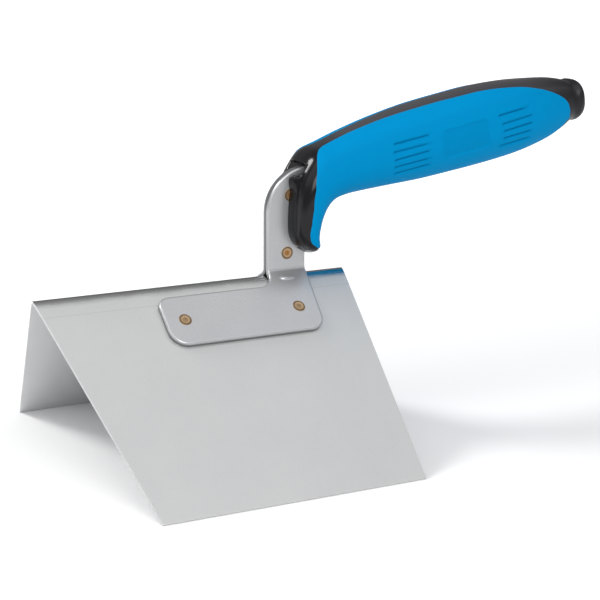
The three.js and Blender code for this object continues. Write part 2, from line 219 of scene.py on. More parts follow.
def on_wing(side, x, down, off):
    """A point on a wing: distance down from the sharp corner and off the outer face."""
    y = side * (down * math.cos(WING_SLOPE) + off * math.sin(WING_SLOPE))
    z = off * math.cos(WING_SLOPE) - down * math.sin(WING_SLOPE)
    return at(x, y, z)


def set_point_value(piece, name, values):
    """Keeps one number at each point of a piece, for its material to read."""
    layer = piece.data.attributes.new(name, "FLOAT", "POINT")
    layer.data.foreach_set("value", values)


def fold_profile(depth):
    """Points (y, z) across the sheet at a depth below its outer face: flat wings that run into
    a rounded fold with no sharp end to its curve."""
    slope = math.tan(WING_SLOPE)
    crown = FOLD_RADIUS / math.cos(WING_SLOPE) - FOLD_RADIUS
    reach = WING_WIDTH * math.cos(WING_SLOPE)
    steps = 34
    crowding = 2.2
    rim = 0.25
    half = [reach * (k / steps) ** crowding for k in range(steps)] + [reach - rim, reach]
    points = []
    for y in [-v for v in reversed(half)] + half[1:]:
        drop = math.hypot(crown, y * slope)
        z = -drop
        lean = math.atan(slope * slope * abs(y) / drop)
        side = math.copysign(1, y) if y else 0
        points.append((y - side * depth * math.sin(lean), z - depth * math.cos(lean)))
    return points


def ring_faces(rows, count):
    """Quads that join rows of points, each row closed on itself."""
    faces = []
    for r in range(rows - 1):
        for i in range(count):
            j = (i + 1) % count
            faces.append((r * count + i, r * count + j, (r + 1) * count + j, (r + 1) * count + i))
    return faces


def make_blade(material):
    """The sheet as rows of its cross-section from toe to heel, its ends raked, its edges broken."""
    outer = fold_profile(0.0)
    inner = fold_profile(SHEET)
    loop = outer + inner[::-1]
    count = len(loop)
    half_span = WING_WIDTH * math.cos(WING_SLOPE)
    rim_share = 0.002
    steps = 40
    shares = [0, rim_share] + [k / steps for k in range(1, steps)] + [1 - rim_share, 1]
    columns = len(shares) - 1
    vertices = []
    for share in shares:
        for y, z in loop:
            reach = abs(y) / half_span
            start = TOE_INSET * reach
            end = BLADE_LENGTH - HEEL_INSET * reach
            vertices.append(at(start + (end - start) * share, y, z))
    faces = ring_faces(columns + 1, count)
    for base in (0, columns * count):
        for i in range(len(outer) - 1):
            faces.append(tuple(base + k for k in (i, i + 1, count - 2 - i, count - 1 - i)))
    piece = mesh_object("blade_sheet", vertices, faces, material)
    work = bmesh.new()
    work.from_mesh(piece.data)
    rims = [
        edge for edge in work.edges
        if len(edge.link_faces) == 2 and edge.calc_face_angle() > math.radians(60)
    ]
    bmesh.ops.bevel(
        work, geom=rims, offset=EDGE_BREAK * MM, segments=2, affect="EDGES", profile=0.5
    )
    work.to_mesh(piece.data)
    work.free()
    for face in piece.data.polygons:
        face.use_smooth = True
    piece.data.set_sharp_from_angle(angle=math.radians(50))
    crown = FOLD_RADIUS / math.cos(WING_SLOPE) - FOLD_RADIUS
    downs = []
    insides = []
    for vertex in piece.data.vertices:
        y = abs(vertex.co.y) / MM
        downs.append(y / math.cos(WING_SLOPE))
        outer_z = corner_z - math.hypot(crown, y * math.tan(WING_SLOPE)) * MM
        insides.append(1.0 if vertex.co.z < outer_z - 0.5 * SHEET * MM else 0.0)
    set_point_value(piece, "from_fold_mm", downs)
    set_point_value(piece, "inside", insides)
    return piece


def surface_group():
    """A node group of fine grain, mottling and broad smudges, used by every material but the
    floor's.
    """
    group = bpy.data.node_groups.new("worked_surface", "ShaderNodeTree")
    group.interface.new_socket("Scale", in_out="INPUT", socket_type="NodeSocketFloat")
    group.interface.new_socket("Grain", in_out="OUTPUT", socket_type="NodeSocketFloat")
    group.interface.new_socket("Mottle", in_out="OUTPUT", socket_type="NodeSocketFloat")
    group.interface.new_socket("Smudge", in_out="OUTPUT", socket_type="NodeSocketFloat")
    nodes, links = group.nodes, group.links
    inputs = nodes.new("NodeGroupInput")
    outputs = nodes.new("NodeGroupOutput")
    coords = nodes.new("ShaderNodeTexCoord")
    for label, factor, detail, rough in (
        ("Grain", 1.0, 3.0, 0.6), ("Mottle", 0.045, 4.0, 0.55), ("Smudge", 0.009, 5.0, 0.6),
    ):
        scale = nodes.new("ShaderNodeMath")
        scale.operation = "MULTIPLY"
        scale.inputs[1].default_value = factor
        links.new(inputs.outputs["Scale"], scale.inputs[0])
        field = nodes.new("ShaderNodeTexNoise")
        field.inputs["Detail"].default_value = detail
        field.inputs["Roughness"].default_value = rough
        links.new(coords.outputs["Object"], field.inputs["Vector"])
        links.new(scale.outputs[0], field.inputs["Scale"])
        links.new(field.outputs["Fac"], outputs.inputs[label])
    return group


worked_surface = surface_group()


def add(material, kind, **values):
    """A new node in the material, with its settings."""
    node = material.node_tree.nodes.new(kind)
    for key, value in values.items():
        setattr(node, key, value)
    return node


def link(material, a, b):
    """Joins one node's output to another's input."""
    material.node_tree.links.new(a, b)


def surface_fields(material, scale):
    """The worked surface placed in a material, its grain this fine."""
    node = add(material, "ShaderNodeGroup")
    node.node_tree = worked_surface
    node.inputs["Scale"].default_value = scale
    return node


def ramp(material, source, stops):
    """A colour ramp of greys or colours fed by a value."""
    node = add(material, "ShaderNodeValToRGB")
    elements = node.color_ramp.elements
    for k, (place, colour) in enumerate(stops):
        stop = elements[k] if k < 2 else elements.new(place)
        stop.position = place
        if not isinstance(colour, tuple):
            colour = (colour, colour, colour)
        stop.color = (*colour, 1)
    link(material, source, node.inputs[0])
    return node.outputs["Color"]


def mix(material, factor, a, b, blend="MIX"):
    """Two colours mixed by a factor; each is a socket, a colour or a number."""
    node = add(material, "ShaderNodeMix", data_type="RGBA", blend_type=blend)
    for socket, value in ((node.inputs[0], factor), (node.inputs[6], a), (node.inputs[7], b)):
        if isinstance(value, bpy.types.NodeSocket):
            link(material, value, socket)
        elif isinstance(value, tuple):
            socket.default_value = (*value, 1)
        else:
            socket.default_value = value
    return node.outputs[2]


def maths(material, operation, a, b=None):
    """One sum on sockets or numbers."""
    node = add(material, "ShaderNodeMath", operation=operation)
    for socket, value in ((node.inputs[0], a), (node.inputs[1], b)):
        if isinstance(value, bpy.types.NodeSocket):
            link(material, value, socket)
        elif value is not None:
            socket.default_value = value
    return node.outputs[0]


def bump(material, shader, height, distance, strength):
    """Fine relief on a shader; the distance is in metres."""
    node = add(material, "ShaderNodeBump")
    node.inputs["Distance"].default_value = distance
    node.inputs["Strength"].default_value = strength
    link(material, height, node.inputs["Height"])
    link(material, node.outputs["Normal"], shader.inputs["Normal"])


blade_steel, shader = new_material("satin_stainless", (0.7, 0.7, 0.7, 1))
fields = surface_fields(blade_steel, 2600.0)
down = add(blade_steel, "ShaderNodeAttribute", attribute_name="from_fold_mm")
wobble = maths(blade_steel, "MULTIPLY", fields.outputs["Mottle"], 1.6)
down_wavy = maths(blade_steel, "ADD", down.outputs["Fac"], wobble)
# the burnished band along the fold, and the faint press line beside it
fold_share = maths(blade_steel, "DIVIDE", down_wavy, BURNISH_REACH)
away = ramp(blade_steel, fold_share, [(0.0, 0.0), (0.4, 0.0), (0.62, 1.0)])
past_line = maths(blade_steel, "SUBTRACT", down.outputs["Fac"], PRESS_LINE_DOWN)
line_gap = maths(blade_steel, "ABSOLUTE", past_line)
press_line = ramp(blade_steel, line_gap, [(0.0, 0.0), (0.4, 1.0)])
tone = ramp(blade_steel, fields.outputs["Smudge"], [
    (0.3, (0.56, 0.565, 0.565)), (0.7, (0.59, 0.595, 0.59)),
])
grain_tone = ramp(blade_steel, fields.outputs["Grain"], [(0.25, 0.95), (0.75, 1.03)])
colour = mix(blade_steel, 1.0, tone, grain_tone, "MULTIPLY")
line_tone = ramp(blade_steel, press_line, [(0.0, 0.9), (1.0, 1.0)])
colour = mix(blade_steel, 1.0, colour, line_tone, "MULTIPLY")
# the inside was never ground and stays paler
inside = add(blade_steel, "ShaderNodeAttribute", attribute_name="inside")
colour = mix(blade_steel, inside.outputs["Fac"], colour, (0.68, 0.685, 0.69))
link(blade_steel, colour, shader.inputs["Base Color"])
satin = ramp(blade_steel, fields.outputs["Mottle"], [(0.3, 0.5), (0.7, 0.56)])
polished = ramp(blade_steel, fold_share, [(0.0, 0.07), (0.2, 0.09), (0.36, 0.25)])
link(blade_steel, mix(blade_steel, away, polished, satin), shader.inputs["Roughness"])
metal = mix(blade_steel, away, (1, 1, 1), (0.65, 0.65, 0.65))
link(blade_steel, metal, shader.inputs["Metallic"])
relief = maths(blade_steel, "MULTIPLY", fields.outputs["Grain"], away)
relief = maths(blade_steel, "ADD", relief, maths(blade_steel, "MULTIPLY", press_line, 0.6))
bump(blade_steel, shader, relief, 0.00001, 0.6)

blade_piece = make_blade(blade_steel)
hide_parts("blade")
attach(blade_piece, "root")

# ---------------------------------------------------------------- brackets
# Two mirrored pressings of 2 mm zinc-bright steel. Each has a foot on its wing, a tight bend
# stiffened by a dart, half of the upright stem, and a tang that runs inside the handle.

PLATE = 2.0
TOUCH = 0.03
BEND_RADIUS = 1.3
FOOT_FRONT = 45.5
FOOT_TOP = 7.4
FOOT_BOTTOM = 29.0
STEM_FRONT = 93.6
STEM_REAR = 109.8
REAR_TAPER = 1.4
SHOULDER = (111.0, 22.7)
SHOULDER_RADIUS = 17.4
TANG_TILT = math.radians(11)
TANG_LENGTH = 72.0
TANG_WIDTH = 12.0
FOOT_FRONT_LOW_ROUND = 7.0
FOOT_FRONT_TOP_ROUND = 4.5
FOOT_REAR_ROUND = 6.0
THROAT_ROUND = 5.2
HEEL_ROUND = 8.0
TANG_END_ROUND = 4.0
TAPER_START = 2.6

bend_y = TOUCH + BEND_RADIUS + PLATE
bend_z = (BEND_RADIUS + PLATE + TOUCH - bend_y * math.sin(WING_SLOPE)) / math.cos(WING_SLOPE)
bend_sweep = math.pi / 2 - WING_SLOPE
bend_length = (BEND_RADIUS + PLATE / 2) * bend_sweep
foot_start = bend_y * math.cos(WING_SLOPE) - bend_z * math.sin(WING_SLOPE)


def arc_points(centre, radius, start, end, steps):
    """Points on an arc, from one angle to another in degrees, ends included."""
    points = []
    for k in range(steps + 1):
        angle = math.radians(start + (end - start) * k / steps)
        offset = (radius * math.cos(angle), radius * math.sin(angle))
        points.append((centre[0] + offset[0], centre[1] + offset[1]))
    return points


def smooth_step(low, high, value):
    """Runs from 0 below the low value to 1 above the high one, level at both ends."""
    t = max(0.0, min(1.0, (value - low) / (high - low)))
    return t * t * (3 - 2 * t)


def blank_outline():
    """The bracket's flat blank: along the fold, and down the strip from the top of the bend."""
    top = FOOT_TOP - foot_start + bend_length
    bottom = FOOT_BOTTOM - foot_start + bend_length
    points = []
    low = FOOT_FRONT_LOW_ROUND
    points += arc_points((FOOT_FRONT + low, bottom - low), low, 90, 180, 12)
    high = FOOT_FRONT_TOP_ROUND
    points += arc_points((FOOT_FRONT + high, top + high), high, 180, 270, 10)
    throat_centre = (STEM_FRONT - THROAT_ROUND, top - THROAT_ROUND)
    points += arc_points(throat_centre, THROAT_ROUND, 90, 0, 12)
    # from here on the heights are above the bend's top, so they count upwards
    tilt = math.degrees(TANG_TILT)
    along = Vector((math.cos(TANG_TILT), math.sin(TANG_TILT)))
    up = Vector((-math.sin(TANG_TILT), math.cos(TANG_TILT)))
    shoulder = Vector(SHOULDER)
    rise = arc_points(shoulder, SHOULDER_RADIUS, 180, 90 + tilt, 22)
    top_line = shoulder + up * SHOULDER_RADIUS
    for drop, start, end in ((TANG_END_ROUND, 90, 0), (TANG_WIDTH - TANG_END_ROUND, 0, -90)):
        centre = top_line + along * (TANG_LENGTH - TANG_END_ROUND) - up * drop
        rise += arc_points(centre, TANG_END_ROUND, start + tilt, end + tilt, 6)
    under_tang = top_line - up * (TANG_WIDTH + HEEL_ROUND)
    run = (STEM_REAR + HEEL_ROUND - under_tang.x) / along.x
    rise += arc_points(under_tang + along * run, HEEL_ROUND, 90 + tilt, 180, 8)
    points += [(x, bend_z - z) for x, z in rise]
    points.append((STEM_REAR, TAPER_START))
    rear_centre = (STEM_REAR - REAR_TAPER - FOOT_REAR_ROUND, bottom - FOOT_REAR_ROUND)
    points += arc_points(rear_centre, FOOT_REAR_ROUND, 0, 90, 12)
    return points


def inset(points, distance):
    """The outline moved inwards by a distance, whichever way round it runs."""
    count = len(points)
    area = sum(
        points[i][0] * points[(i + 1) % count][1] - points[(i + 1) % count][0] * points[i][1]
        for i in range(count)
    )
    inward = 1 if area > 0 else -1
    sharpest = 0.4
    moved = []
    for i in range(count):
        before = Vector(points[i - 1])
        here = Vector(points[i])
        after = Vector(points[(i + 1) % count])
        a = (here - before).normalized()
        b = (after - here).normalized()
        normal_a = Vector((-a.y, a.x)) * inward
        normal_b = Vector((-b.y, b.x)) * inward
        mitre = (normal_a + normal_b).normalized()
        reach = distance / max(sharpest, mitre.dot(normal_a))
        moved.append(here + mitre * reach)
    return moved


def without_repeats(points, least=0.05):
    """The outline without points closer together than the least distance."""
    kept = []
    for p in points:
        p = Vector(p)
        if not kept or (p - kept[-1]).length > least:
            kept.append(p)
    if (kept[0] - kept[-1]).length < least:
        kept.pop()
    return kept


DART = Vector((100.6, 4.9))
DART_SPREAD = Vector((3.1, 1.5))
DART_RISE = 0.55
DART_CREST = 0.4


def dart_rise(x, v):
    """The dart's height: a lens whose crest is nearer its lower edge."""
    across = (x - DART.x) / DART_SPREAD.x
    if abs(across) >= 1:
        return 0.0
    down = (v - DART.y) / DART_SPREAD.y / math.sqrt(1 - across ** 2)
    if down < DART_CREST:
        share = (down + 1) / (1 + DART_CREST)
    else:
        share = (1 - down) / (1 - DART_CREST)
    return DART_RISE * smooth_step(0, 1, share) * (1 - across ** 2)


def bent(x, v, w, side):
    """Where a point of the blank goes: w is its height from the face that touches the blade."""
    w += dart_rise(x, v) * w / PLATE
    if v < 0:
        return at(x, side * (TOUCH + w), bend_z - v)
    sweep = min(v / bend_length, 1.0) * bend_sweep
    radius = BEND_RADIUS + PLATE - w
    y = bend_y - radius * math.cos(sweep)
    z = bend_z - radius * math.sin(sweep)
    if v > bend_length:
        y += (v - bend_length) * math.sin(bend_sweep)
        z -= (v - bend_length) * math.cos(bend_sweep)
    return at(x, side * y, z)


def make_bracket(name, side, material):
    """The flat blank with its edges rounded, then bent and pressed; side is -1 or 1."""
    outline = without_repeats(blank_outline())
    count = len(outline)
    front_round = 0.7
    back_round = 0.2
    flat_rim = 0.25
    edge_land = 0.1
    round_steps = 5
    rings = [
        (inset(outline, back_round + flat_rim), 0.0), (inset(outline, back_round), 0.0),
        (outline, back_round), (outline, PLATE - front_round - edge_land),
    ]
    for k in range(round_steps + 1):
        angle = math.radians(90 * k / round_steps)
        rings.append((
            inset(outline, front_round * (1 - math.cos(angle))),
            PLATE - front_round + front_round * math.sin(angle),
        ))
    rings.append((inset(outline, front_round + flat_rim), PLATE))
    work = bmesh.new()
    rows = [[work.verts.new((p[0], p[1], w)) for p in ring] for ring, w in rings]
    for low, high in zip(rows, rows[1:]):
        for i in range(count):
            j = (i + 1) % count
            work.faces.new((low[i], low[j], high[j], high[i]))
    work.faces.new(rows[0][::-1])
    work.faces.new(rows[-1])
    # the bend and the dart need lines to curve along, the dart's a little past its rim
    bend_steps = 8
    bend_cuts = [bend_length * k / bend_steps for k in range(bend_steps + 1)]
    dart_steps = [k / 8 for k in range(-9, 10)]
    dart_cuts_v = [DART.y + DART_SPREAD.y * step for step in dart_steps]
    dart_cuts_x = [DART.x + DART_SPREAD.x * step for step in dart_steps]
    cuts = [((0, v, 0), (0, 1, 0)) for v in bend_cuts + dart_cuts_v]
    cuts += [((x, 0, 0), (1, 0, 0)) for x in dart_cuts_x]
    for place, facing in cuts:
        bmesh.ops.bisect_plane(
            work, geom=work.verts[:] + work.edges[:] + work.faces[:],
            plane_co=place, plane_no=facing, dist=1e-5,
        )
    bmesh.ops.triangulate(work, faces=[f for f in work.faces if len(f.verts) > 4])
    depths = [vertex.co.z for vertex in work.verts]
    for vertex in work.verts:
        vertex.co = bent(vertex.co.x, vertex.co.y, vertex.co.z, side)
    bmesh.ops.recalc_face_normals(work, faces=work.faces)
    mesh = bpy.data.meshes.new(name)
    work.to_mesh(mesh)
    work.free()
    piece = finished(name, mesh, material, 40)
    set_point_value(piece, "from_back_mm", depths)
    return piece


bracket_steel, shader = new_material("zinc_bright_steel", (0.6, 0.6, 0.6, 1))
shader.inputs["Metallic"].default_value = 0.65
fields = surface_fields(bracket_steel, 2100.0)
tone = ramp(bracket_steel, fields.outputs["Smudge"], [
    (0.3, (0.47, 0.475, 0.49)), (0.7, (0.51, 0.515, 0.525)),
])
grain_tone = ramp(bracket_steel, fields.outputs["Grain"], [(0.25, 0.92), (0.75, 1.05)])
colour = mix(bracket_steel, 1.0, tone, grain_tone, "MULTIPLY")
# the cut edge is painted darker, most towards the face that touches the blade: painted shade of the
# crevice between bracket and blade, on a sheared edge duller than the faces
depth = add(bracket_steel, "ShaderNodeAttribute", attribute_name="from_back_mm")
sheared_edge_and_crevice_shade = ramp(bracket_steel, maths(bracket_steel, "DIVIDE", depth.outputs["Fac"], PLATE), [
    (0.0, 0.3), (0.45, 0.42), (0.75, 1.0),
])
colour = mix(bracket_steel, 1.0, colour, sheared_edge_and_crevice_shade, "MULTIPLY")
link(bracket_steel, colour, shader.inputs["Base Color"])
pressed_skin = ramp(bracket_steel, fields.outputs["Mottle"], [(0.3, 0.27), (0.7, 0.36)])
link(bracket_steel, pressed_skin, shader.inputs["Roughness"])
bump(bracket_steel, shader, fields.outputs["Grain"], 0.000015, 0.5)

for node, side in (("bracket_left", -1), ("bracket_right", 1)):
    piece = make_bracket(node + "_pressing", side, bracket_steel)
    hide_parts(node)
    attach(piece, "root")

# ---------------------------------------------------------------- spot welds
# Six resistance spot welds, two through each foot and two through the stem. Each leaves a low
# ringed mark on both faces, tinted straw or orange inside and dark brown at its rim.

WELD_RADIUS = 2.45
WELD_HEART = 0.001
FOOT_WELD_DOWN = 18.3
FOOT_WELD_X = {"front": 53.3, "rear": 100.3}
STEM_WELDS = {"lower": (102.0, 7.3), "upper": (103.3, 29.6)}


def make_weld(name, low, high, material):
    """A slug between two face points, with the same ringed mark on both ends."""
    axis = (high - low).normalized()
    length = (high - low).length / MM
    side_axis = axis.orthogonal().normalized()
    other_axis = axis.cross(side_axis)
    # distance from the axis and height over the face, from the middle outwards
    face_line = [
        (0.0, 0.12), (0.25, 0.11), (0.45, 0.05), (0.7, 0.03), (1.2, 0.03), (1.6, 0.05),
        (1.85, 0.1), (2.02, 0.15), (2.2, 0.16), (2.36, 0.12), (WELD_RADIUS, 0.02),
    ]
    profile = [(r, length + h) for r, h in face_line]
    profile += [(r, -h) for r, h in reversed(face_line)]
    around = 40
    vertices = []
    values = []
    for r, h in profile:
        for k in range(around):
            angle = 2 * math.pi * k / around
            outwards = side_axis * math.cos(angle) + other_axis * math.sin(angle)
            vertices.append(low + axis * (h * MM) + outwards * (max(r, WELD_HEART) * MM))
            values.append(r / WELD_RADIUS)
    faces = ring_faces(len(profile), around)
    faces.append(tuple(range(around)))
    faces.append(tuple(range((len(profile) - 1) * around, len(profile) * around)))
    mesh = bpy.data.meshes.new(name)
    mesh.from_pydata([tuple(v) for v in vertices], [], faces)
    work = bmesh.new()
    work.from_mesh(mesh)
    bmesh.ops.recalc_face_normals(work, faces=work.faces)
    work.to_mesh(mesh)
    work.free()
    piece = finished(name, mesh, material, 60)
    set_point_value(piece, "from_centre", values)
    return piece


def weld_material(name, heart):
    """Steel tinted by welding heat: the heart's colour, a straw band and a dark brown rim."""
    material, shader = new_material(name, (0.6, 0.45, 0.3, 1))
    shader.inputs["Metallic"].default_value = 0.75
    fields = surface_fields(material, 3200.0)
    ring = add(material, "ShaderNodeAttribute", attribute_name="from_centre")
    off_middle = maths(material, "SUBTRACT", fields.outputs["Grain"], 0.5)
    uneven = maths(material, "MULTIPLY", off_middle, 0.2)
    place = maths(material, "ADD", ring.outputs["Fac"], uneven)
    tint = ramp(material, place, [
        (0.0, heart), (0.34, heart), (0.5, (0.46, 0.33, 0.2)), (0.68, (0.42, 0.3, 0.18)),
        (0.79, (0.2, 0.115, 0.05)), (0.9, (0.17, 0.1, 0.045)), (1.0, (0.34, 0.25, 0.16)),
    ])
    link(material, tint, shader.inputs["Base Color"])
    scale_skin = ramp(material, fields.outputs["Mottle"], [(0.3, 0.36), (0.7, 0.5)])
    link(material, scale_skin, shader.inputs["Roughness"])
    bump(material, shader, fields.outputs["Grain"], 0.00006, 0.6)
    return material


foot_tint = weld_material("straw_heat_tint", (0.33, 0.21, 0.11))
stem_tint = weld_material("orange_heat_tint", (0.36, 0.16, 0.045))

for hand, side in (("left", -1), ("right", 1)):
    for place, x in FOOT_WELD_X.items():
        low = on_wing(side, x, FOOT_WELD_DOWN, -SHEET)
        high = on_wing(side, x, FOOT_WELD_DOWN, TOUCH + PLATE)
        piece = make_weld(f"weld_mark_foot_{hand}_{place}", low, high, foot_tint)
        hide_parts(f"foot_weld_{hand}_{place}")
        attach(piece, "root")
for place, (x, z) in STEM_WELDS.items():
    reach = TOUCH + PLATE
    piece = make_weld(f"weld_mark_stem_{place}", at(x, -reach, z), at(x, reach, z), stem_tint)
    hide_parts(f"stem_weld_{place}")
    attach(piece, "root")

# ---------------------------------------------------------------- handle core
# The hard black moulding: a flared glossy collar with a mouth round the stem, a satin back
# that runs the length of the grip, and a waisted butt that ends in a rounded knob.

# point on the back, point on the belly and half the width, from the butt to the collar's tip
STATIONS = [
    (235.4, 63.6, 236.4, 54.6, 4.8),
    (235.0, 65.9, 236.5, 52.0, 7.8),
    (233.4, 67.2, 234.7, 50.6, 8.9),
    (230.6, 67.5, 231.8, 50.3, 9.2),
    (227.1, 67.8, 228.8, 48.3, 9.4),
    (221.9, 68.4, 224.1, 45.8, 10.6),
    (213.0, 68.5, 214.5, 42.2, 13.0),
    (202.0, 68.2, 203.0, 39.0, 14.8),
    (188.0, 66.8, 189.0, 36.3, 15.6),
    (172.0, 63.9, 173.5, 33.9, 15.8),
    (156.0, 60.7, 158.5, 31.8, 15.2),
    (141.0, 56.7, 144.5, 30.4, 14.2),
    (128.0, 52.5, 134.0, 29.3, 13.2),
    (118.1, 48.7, 127.0, 28.4, 12.9),
    (110.7, 45.7, 121.4, 26.8, 12.9),
    (106.6, 40.6, 117.7, 23.7, 12.9),
    (103.8, 35.0, 115.5, 19.7, 12.9),
    (102.5, 28.0, 114.2, 15.7, 12.8),
    (102.1, 21.0, 113.7, 12.3, 12.6),
    (102.3, 15.0, 114.3, 9.4, 12.0),
    (104.2, 10.8, 113.8, 7.8, 10.0),
    (107.0, 8.3, 112.6, 6.8, 6.0),
]
BACK_POWER = 2.7
BELLY_POWER = 2.1
LAST = len(STATIONS) - 1


def between(rows, station):
    """Values between two stations, on a smooth curve through all of them."""
    i = min(int(math.floor(station)), LAST)
    w = station - i
    before = rows[max(i - 1, 0)]
    here = rows[i]
    after = rows[min(i + 1, LAST)]
    beyond = rows[min(i + 2, LAST)]
    values = []
    for a, b, c, d in zip(before, here, after, beyond):
        u, v = (c - a) / 2, (d - b) / 2
        cubic = 2 * b - 2 * c + u + v
        square = 3 * c - 3 * b - 2 * u - v
        values.append(cubic * w ** 3 + square * w ** 2 + u * w + b)
    return values


def handle_point(station, degrees, lift=0.0):
    """A point of the handle's surface in mm: 0 degrees is the back and 180 the belly."""
    back_x, back_z, belly_x, belly_z, half = between(STATIONS, station)
    centre = Vector(((back_x + belly_x) / 2, (back_z + belly_z) / 2))
    up = Vector((back_x, back_z)) - centre
    height = up.length
    up.normalize()
    cosine = math.cos(math.radians(degrees))
    sine = math.sin(math.radians(degrees))
    power = BACK_POWER if cosine > 0 else BELLY_POWER
    rise = math.copysign(abs(cosine) ** (2 / power), cosine) * (height + lift)
    out = math.copysign(abs(sine) ** (2 / power), sine) * (half + lift)
    return Vector((centre.x + up.x * rise, -out, centre.y + up.y * rise))


# the collar's front: a boss that closes round the stem, parted by a groove from a rounded rim
# that runs over the stem's top as a short hood
BOSS_HALF = 7.3
BOSS_TOP = 41.3
BOSS_LOW = 9.5
BOSS_ROUND = 3.0
BOSS_SINK = 0.2
BOSS_LEAN = 1.5
BOSS_SHOULDER = (0.2, 2.2)
LEAN_START_Z = (30.5, 35.5)
LEAN_END_Z = (36.0, 38.5)
RIM_SINK = 0.45
RIM_WIDTH = 2.2
GROOVE_DEPTH = 0.55
GROOVE_WIDTH = 0.4
GROOVE_END_Z = (35.0, 39.0)
MOUTH_HALF = 7.4
MOUTH_FLAT = 2.4
MOUTH_DEPTH = 3.4
MOUTH_START_Z = (36.2, 39.2)
HOOD_Z = 41.9
HOOD_LIP = 0.7
FRONT_END_X = (109.5, 112.5)
COLLAR_END_X = 113
COLLAR_END_Z = 50
COLLAR_HALF = 11.5
RELIEF_DIP = 0.25


def boss_distance(y, z):
    """Distance outside the boss's rounded outline, negative inside it."""
    a = abs(y) - (BOSS_HALF - BOSS_ROUND)
    b = abs(z - (BOSS_TOP + BOSS_LOW) / 2) - ((BOSS_TOP - BOSS_LOW) / 2 - BOSS_ROUND)
    return Vector((max(a, 0), max(b, 0))).length + min(max(a, b), 0) - BOSS_ROUND


def collar_relief(p):
    """Moves a point of the collar's front in for the groove, the boss and the mouth."""
    if p.x > COLLAR_END_X or p.z > COLLAR_END_Z or abs(p.y) > COLLAR_HALF:
        return p
    gap = boss_distance(p.y, p.z)
    lower = 1 - smooth_step(*GROOVE_END_Z, p.z)
    rim = RIM_SINK * max(0.0, 1 - gap / RIM_WIDTH) ** 2
    depth = (BOSS_SINK if gap < 0 else rim) * lower
    depth += GROOVE_DEPTH * math.exp(-(gap / GROOVE_WIDTH) ** 2) * lower
    # the boss leans forward as it rises, then falls back into the mouth round the stem's top
    lean = smooth_step(*LEAN_START_Z, p.z) * (1 - smooth_step(*LEAN_END_Z, p.z))
    depth -= BOSS_LEAN * lean * smooth_step(*BOSS_SHOULDER, -gap)
    mouth = smooth_step(*MOUTH_START_Z, p.z) * (1 - smooth_step(HOOD_Z - HOOD_LIP, HOOD_Z, p.z))
    depth += MOUTH_DEPTH * mouth * (1 - smooth_step(MOUTH_FLAT, MOUTH_HALF, abs(p.y)))
    depth *= 1 - smooth_step(*FRONT_END_X, p.x)
    return Vector((p.x + depth, p.y, p.z - depth * RELIEF_DIP))


# the butt: a waist just in front of the cap, and the cap's raised rim
NECK_X = 230.4
NECK_DEPTH = 0.85
NECK_WIDTH = 1.8
CAP_X = 233.8
CAP_RISE = 0.3
CAP_WIDTH = 1.5
NECK_REACH = 6.0
FLANK_LOSS = 0.7
FLANK_ANGLES = (55, 110)


def neck_lift(x, degrees):
    """How far the butt's surface rises at a place, shallower on the sides and the belly."""
    from_back = min(degrees, 360 - degrees)
    waist = NECK_DEPTH * math.exp(-((x - NECK_X) / NECK_WIDTH) ** 2)
    rim = CAP_RISE * math.exp(-((x - CAP_X) / CAP_WIDTH) ** 2)
    return (rim - waist) * (1 - FLANK_LOSS * smooth_step(*FLANK_ANGLES, from_back))


def spread(parts):
    """Numbers in increasing order from (start, end, count) stretches that meet."""
    numbers = [parts[0][0]]
    for start, end, count in parts:
        numbers += [start + (end - start) * k / count for k in range(1, count + 1)]
    return numbers


def loft_object(name, rows, material, smooth_angle=45):
    """A closed skin over rows of points, each end closed to its middle."""
    count = len(rows[0])
    vertices = [p for row in rows for p in row]
    faces = ring_faces(len(rows), count)
    for base in (0, (len(rows) - 1) * count):
        middle = sum((rows[base // count][i] for i in range(count)), Vector()) / count
        vertices.append(middle)
        top = len(vertices) - 1
        for i in range(count):
            faces.append((base + i, base + (i + 1) % count, top))
    return mesh_object(name, vertices, faces, material, smooth_angle)


# station of the handle and the angle from the back where the grip's edge runs
GRIP_EDGE = [
    (4.05, 122), (4.2, 98), (4.35, 89), (4.5, 85.5), (4.84, 77), (5.1, 71), (5.52, 60), (5.9, 51),
    (6.21, 45), (6.6, 38.5), (6.98, 32.5), (7.63, 26), (8.3, 20.5), (9.3, 17.2), (10.0, 16.5),
    (10.9, 12.2), (12.0, 10.2), (12.9, 10.5), (13.3, 12), (13.6, 18), (13.92, 29.4),
    (14.27, 44.3), (14.66, 57), (15.5, 76), (16.6, 84.7), (17.6, 85), (18.4, 80.5), (18.9, 82),
    (19.2, 88), (19.42, 101),
]
GRIP_BUTT, GRIP_TIP = GRIP_EDGE[0][0], GRIP_EDGE[-1][0]
TONGUE_END = 5.6
TONGUE_WIDTH = 0.92
TONGUE_POWER = 1.3
SEAT_DEPTH = 1.4
SEAT_EDGE = (0.4, 1.8)


def grip_edge(station):
    """The angle from the back where the grip's edge runs at a station."""
    if station <= GRIP_BUTT:
        return GRIP_EDGE[0][1]
    for (a, low), (b, high) in zip(GRIP_EDGE, GRIP_EDGE[1:]):
        if station <= b:
            return low + (high - low) * (station - a) / (b - a)
    return GRIP_EDGE[-1][1]


def grip_start(share):
    """The station where the grip begins at a share of the way round, later under the belly."""
    off_middle = abs(share - 0.5) * 2
    dip = (1 - smooth_step(0.0, TONGUE_WIDTH, off_middle)) ** TONGUE_POWER
    return GRIP_BUTT + (TONGUE_END - GRIP_BUTT) * dip


def grip_spot(share, along):
    """Station and angle on the grip: share runs round from edge to edge, along from the butt."""
    start = grip_start(share)
    station = start + (GRIP_TIP - start) * along
    edge = grip_edge(station)
    return station, edge + (360 - 2 * edge) * share


def under_grip(station, degrees):
    """Whether the grip covers the core at a station and angle."""
    edge = grip_edge(station)
    share = (degrees - edge) / (360 - 2 * edge)
    return 0 < share < 1 and grip_start(share) < station < GRIP_TIP


